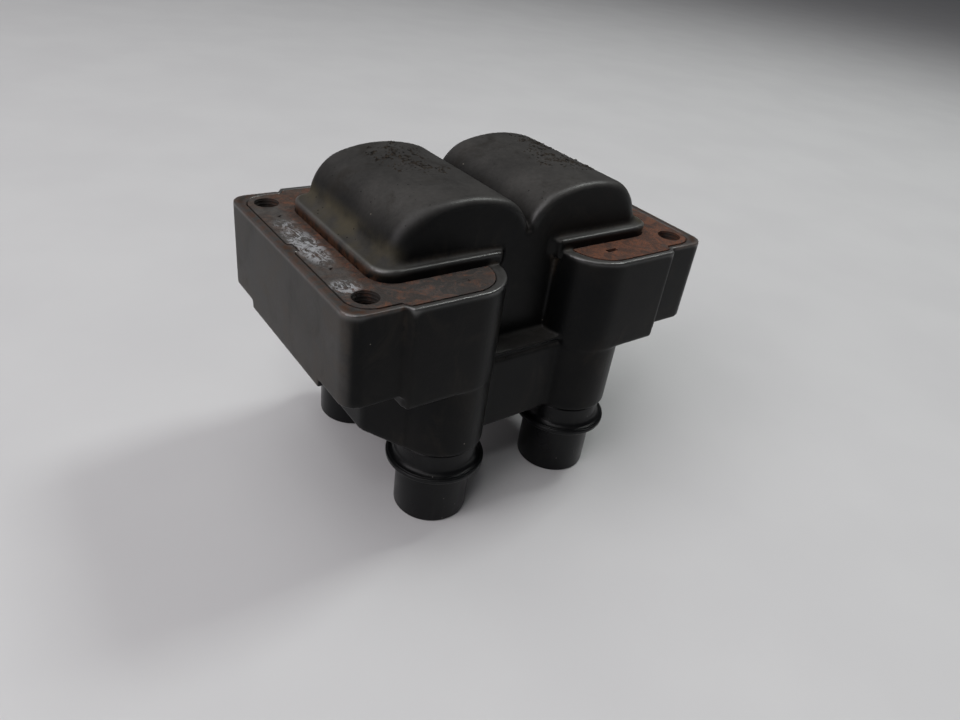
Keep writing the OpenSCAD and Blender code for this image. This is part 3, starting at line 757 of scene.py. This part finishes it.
def yoke_steel():
    p = Paint("yoke_steel")
    right = p.fade(p.x, -5, 5)
    front = p.fade(p.y, 6, -10)
    broad = p.noise(8, 5, 0.65, wobble=0.6)
    mottle = p.noise(1.5, 5, 0.7)
    grain = p.noise(0.32, 3, 0.6)

    # dull brown-grey film, then brown and orange rust
    grey = p.mix(p.fade(mottle, 0.3, 0.7), (0.034, 0.031, 0.029), (0.066, 0.058, 0.052))
    brown = p.mix(p.fade(mottle, 0.35, 0.65), (0.028, 0.017, 0.012), (0.072, 0.040, 0.026))
    clumps = p.mul(p.fade(grain, 0.30, 0.62), p.fade(p.noise(2.6, 4, 0.7, wobble=0.8), 0.34, 0.62))
    rusty = p.mix(clumps, (0.040, 0.016, 0.009), (0.190, 0.062, 0.024))
    foot = p.fade(p.calc("ABSOLUTE", p.x), 46.3, 43.6)

    # the front arm of the left core, with a dark film broken by brown patches
    islands = p.noise(5, 5, 0.7, wobble=1.0)
    arm = p.mul(p.calc("SUBTRACT", 1.0, right), p.fade(p.y, -19, -23))
    share = p.add(p.mul(p.fade(broad, 0.42, 0.60), 0.75), p.mul(foot, p.calc("SUBTRACT", 1.0, arm), 0.7))
    colour = p.mix(share, grey, brown)
    spots = p.fade(p.noise(2.2, 4, 0.7), 0.45, 0.62)
    orange = p.add(p.mul(right, front, p.fade(broad, 0.30, 0.48)),
                   p.mul(arm, p.fade(islands, 0.46, 0.60), 0.55),
                   p.mul(foot, p.blend(arm, 1.0, 0.25), spots, 0.8))
    colour = p.mix(p.mul(orange, 0.9), colour, rusty)
    film = p.mul(arm, p.fade(islands, 0.56, 0.44), p.fade(mottle, 0.35, 0.65, 0.6, 0.95))
    colour = p.mix(film, colour, (0.020, 0.0165, 0.0145))

    # bare, whitish scuffs on the left plate
    swirl = p.fade(p.noise(1.7, 6, 0.8, p.stretched((1, 0.5, 1), turn=0.6), wobble=1.6), 0.47, 0.56)
    top = RIM_Z / MM - 0.2
    scuffs = p.add(p.near(-47.9, 0.5, top, 1.7, 2.6, (1, 0.30, 1)), p.near(-48.9, -21.3, top, 1.4, 2.8),
                   p.mul(p.near(-48.0, 13.4, top, 1.0, 3.0), 0.45))
    scuff = p.mul(scuffs, swirl)
    colour = p.mix(p.mul(scuff, 0.9), colour, (0.46, 0.47, 0.49))

    # sheet edges show in the holes and on the sides
    side_on = p.fade(p.calc("ABSOLUTE", p.nz), 0.5, 0.2)
    sheet_pitch = 0.9
    sheets = p.fade(p.calc("SINE", p.mul(p.z, 2 * math.pi / sheet_pitch)), 0.2, 0.9)
    dark = p.mul(side_on, p.fade(sheets, 0.2, 0.8, 0.35, 0.8))
    colour = p.mix(dark, colour, (0.016, 0.012, 0.010))

    rough = p.blend(scuff, p.fade(grain, 0.2, 0.8, 0.62, 0.9), 0.42)
    height = p.add(p.mul(grain, p.blend(orange, 0.25, 0.8)), p.mul(mottle, 0.35),
                   p.mul(side_on, sheets, 0.6))
    p.bump(height, 0.24, 1.0)
    return p.finish(colour, rough, p.mul(scuff, 0.4))


def plain_finish(name, dark, light, rough, metal=0.0, size=2.0, depth=0.05, stretch=(1, 1, 1)):
    p = Paint(name)
    grain = p.noise(size, 4, 0.6, p.stretched(stretch))
    colour = p.mix(p.fade(grain, 0.3, 0.7), dark, light)
    p.bump(p.noise(size / 4, 3, 0.6, p.stretched(stretch)), depth, 0.7)
    return p.finish(colour, p.fade(grain, 0.2, 0.8, rough * 0.85, rough * 1.1), metal)


def paint(obj, material):
    obj.data.materials.clear()
    obj.data.materials.append(material)
    for poly in obj.data.polygons:
        poly.material_index = 0


# ---------- everything together ----------

paint(make_case(), case_plastic())
tower_finish = tower_plastic()
for corner in CORNERS:
    paint(make_tower(corner), tower_finish)
steel_finish = yoke_steel()
paint(make_steel("core_c_left", -1), steel_finish)
paint(make_steel("core_c_right", 1), steel_finish)

resin = plain_finish("resin", (0.020, 0.014, 0.011), (0.045, 0.032, 0.024), 0.35, size=5, depth=0.2)
bar_steel = plain_finish("bar_steel", (0.20, 0.20, 0.21), (0.34, 0.34, 0.36), 0.4, 1.0, stretch=(1, 1, 8))
bobbin = plain_finish("bobbin_plastic", (0.50, 0.46, 0.36), (0.62, 0.58, 0.47), 0.5, size=4)
thick_wire = plain_finish("thick_wire", (0.38, 0.13, 0.05), (0.60, 0.25, 0.10), 0.3, 0.8, stretch=(1, 6, 1))
fine_wire = plain_finish("fine_wire", (0.28, 0.08, 0.03), (0.44, 0.16, 0.07), 0.35, 0.8, stretch=(1, 9, 1))
shroud = plain_finish("shroud_plastic", (0.014, 0.014, 0.014), (0.026, 0.026, 0.025), 0.45, size=3)
contact = plain_finish("contact_metal", (0.42, 0.30, 0.12), (0.62, 0.47, 0.22), 0.35, 1.0)

# finish of each inner node, by how its name starts
INNER = {
    "potting": resin,
    "core_bar": bar_steel,
    "primary_bobbin": bobbin,
    "secondary_bobbin": bobbin,
    "primary_winding": thick_wire,
    "secondary_winding": fine_wire,
    "connector_shroud": shroud,
    "ht_terminal": contact,
    "ht_lead": contact,
    "lt_pin": contact,
}
for name, obj in nodes.items():
    for start, inner_finish in INNER.items():
        if name.startswith(start):
            paint(obj, inner_finish)

# ---------- camera ----------

cam_data = bpy.data.cameras.new("camera")
cam_data.sensor_width = 36
cam_data.lens = 27.307
cam_data.clip_start = 0.01
camera = link("camera", cam_data)

# seen from the front left, looking down, with the frame turned a little, in degrees
HEADING = 39.761
DOWN = 32.641
ROLL = 8.447
EYE = Vector((-111.99, -144.83, 143.76)) * MM
camera.matrix_world = (Matrix.Translation(EYE)
                       @ Matrix.Rotation(math.radians(-HEADING), 4, "Z")
                       @ Matrix.Rotation(math.radians(90 - DOWN), 4, "X")
                       @ Matrix.Rotation(math.radians(ROLL), 4, "Z"))
bpy.context.scene.camera = camera

# ---------- floor and light ----------

floor_bm = bmesh.new()
bmesh.ops.create_grid(floor_bm, x_segments=1, y_segments=1, size=4.0)
floor = finished("floor", floor_bm, smooth=False)
floor.location.z = cad_box[0][2]
floor_paint = Paint("floor")
patches = floor_paint.fade(floor_paint.noise(60, 3, 0.5), 0.3, 0.7)
tint = floor_paint.mix(patches, (0.640, 0.636, 0.643), (0.665, 0.662, 0.667))
paint(floor, floor_paint.finish(tint, 0.6, specular=0.3))


def area_light(name, place, size, power, colour):
    data = bpy.data.lights.new(name, "AREA")
    data.shape = "SQUARE"
    data.size = size
    data.energy = power
    data.color = colour
    lamp = link(name, data)
    lamp.location = place
    lamp.rotation_euler = (Vector((0, 0, 0.04)) - Vector(place)).to_track_quat("-Z", "Y").to_euler()


area_light("left", (-1.15, -0.10, 0.78), 1.1, 8.6, (1.0, 0.95, 0.985))
area_light("right", (0.78, 0.05, 1.06), 0.26, 4.8, (0.96, 1.0, 0.97))
area_light("front", (-0.42, -0.45, 0.95), 0.14, 0.7, (1.0, 1.0, 1.0))
area_light("over", (-0.40, 0.30, 1.5), 1.6, 11.0, (1.0, 1.0, 1.0))

world = bpy.data.worlds.new("world")
bpy.context.scene.world = world
world.use_nodes = True
background = world.node_tree.nodes["Background"]
background.inputs["Color"].default_value = (0.95, 0.96, 1.0, 1)
background.inputs["Strength"].default_value = 0.09
bpy.context.scene.view_settings.view_transform = "Standard"
